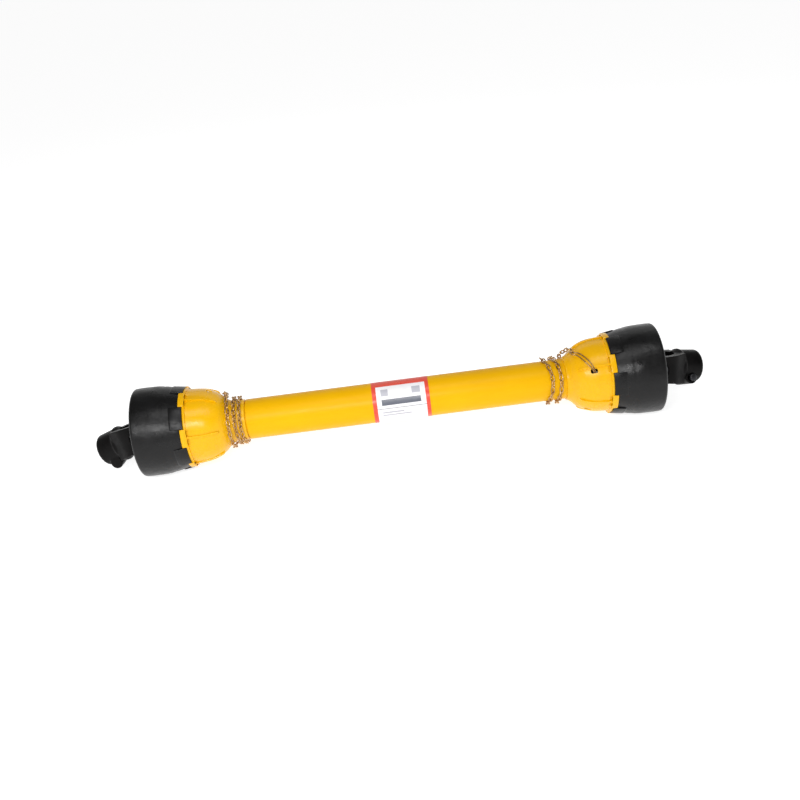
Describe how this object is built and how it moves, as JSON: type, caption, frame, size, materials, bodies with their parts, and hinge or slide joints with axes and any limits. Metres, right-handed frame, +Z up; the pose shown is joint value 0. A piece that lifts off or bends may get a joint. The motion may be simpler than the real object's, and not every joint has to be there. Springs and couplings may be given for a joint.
{
  "type": "pto drive shaft",
  "caption": "Guarded telescopic drive shaft: yellow tube and bells, black cones, a universal joint with a splined yoke at each end, and guard chains.",
  "frame": {"origin": "on the floor under the middle of the shaft's box, the shaft lying on its two guard cones", "axes": "+X along the shaft towards the right end, the end of the outer tubes; +Z up"},
  "size_m": [1.0424, 0.1508, 0.1507],
  "materials": {
    "guard_yellow": "smooth yellow moulded polyethylene",
    "cone_black": "soft matt black",
    "ring_nylon": "natural nylon",
    "yoke_black": "black painted forging",
    "bright_steel": "bright machined steel",
    "tube_steel": "drawn profile tube, oiled",
    "spring_steel": "dark spring steel",
    "cross_steel": "forged and ground steel",
    "seal_rubber": "black seal",
    "nipple_steel": "yellow zinc",
    "chain_gold": "yellow zinc-plated steel",
    "pin_steel": "black oxide",
    "label_print": "red and white printed film"
  },
  "bodies": {
    "guard_outer": {"guard_tube_outer": "guard_yellow", "bell_right": "guard_yellow", "cone_right": "cone_black", "bearing_ring_right": "ring_nylon", "chain_right": "chain_gold", "chain_hook_right": "chain_gold", "label": "label_print"},
    "drive_outer": {"outer_drive_tube": "tube_steel", "inner_yoke_right": "yoke_black", "roll_pin_right": "spring_steel", "inner_cups_right": "bright_steel", "inner_circlips_right": "spring_steel"},
    "drive_inner": {"inner_drive_tube": "tube_steel", "inner_yoke_left": "yoke_black", "roll_pin_left": "spring_steel", "inner_cups_left": "bright_steel", "inner_circlips_left": "spring_steel"},
    "guard_inner": {"guard_tube_inner": "guard_yellow", "bell_left": "guard_yellow", "cone_left": "cone_black", "bearing_ring_left": "ring_nylon", "chain_left": "chain_gold", "chain_hook_left": "chain_gold"},
    "cross_left": {"cross_left": "cross_steel", "cross_seals_left": "seal_rubber", "grease_nipple_left": "nipple_steel"},
    "yoke_left": {"outer_yoke_left": "yoke_black", "outer_cups_left": "bright_steel", "outer_circlips_left": "spring_steel", "pin_spring_left": "spring_steel"},
    "push_pin_left": {"push_pin_left": "pin_steel"},
    "cross_right": {"cross_right": "cross_steel", "cross_seals_right": "seal_rubber", "grease_nipple_right": "nipple_steel"},
    "yoke_right": {"outer_yoke_right": "yoke_black", "outer_cups_right": "bright_steel", "outer_circlips_right": "spring_steel", "pin_spring_right": "spring_steel"},
    "push_pin_right": {"push_pin_right": "pin_steel"}
  },
  "joints": [
    {"name": "cross_swing_left", "type": "hinge", "parent": "drive_inner", "child": "cross_left", "pos_m": [-0.43039, 0, 0.07538], "axis": [0, 0.309, 0.9511], "range_deg": [-16.5, 43.5]},
    {"name": "yoke_droop_left", "type": "hinge", "parent": "cross_left", "child": "yoke_left", "pos_m": [-0.43039, 0, 0.07538], "axis": [-0.2334, -0.9248, 0.3005], "range_deg": [-47.7, 12.3]},
    {"name": "push_pin_left", "type": "slide", "parent": "yoke_left", "child": "push_pin_left", "axis": [-0.1669, -0.9798, 0.1101], "range_m": [0, 0.01], "stiffness_N_per_m": 900, "springref_m": -0.004, "deforming": ["pin_spring_left"]},
    {"name": "cross_swing_right", "type": "hinge", "parent": "drive_outer", "child": "cross_right", "pos_m": [0.42961, 0, 0.07538], "axis": [0, 0.309, 0.9511], "range_deg": [-43.5, 16.5]},
    {"name": "yoke_droop_right", "type": "hinge", "parent": "cross_right", "child": "yoke_right", "pos_m": [0.42961, 0, 0.07538], "axis": [-0.2334, 0.9248, -0.3005], "range_deg": [-37, 23]},
    {"name": "push_pin_right", "type": "slide", "parent": "yoke_right", "child": "push_pin_right", "axis": [-0.253, 0.8352, -0.4883], "range_m": [0, 0.01], "stiffness_N_per_m": 900, "springref_m": -0.004, "deforming": ["pin_spring_right"]},
    {"name": "guard_spin_right", "type": "hinge", "parent": "guard_outer", "child": "drive_outer", "pos_m": [0.33561, 0, 0.07538], "axis": [1, 0, 0], "continuous": true},
    {"name": "shaft_extension", "type": "slide", "parent": "drive_outer", "child": "drive_inner", "axis": [-1, 0, 0], "range_m": [0, 0.25]},
    {"name": "guard_spin_left", "type": "hinge", "parent": "drive_inner", "child": "guard_inner", "pos_m": [-0.33639, 0, 0.07538], "axis": [1, 0, 0], "continuous": true}
  ]
}
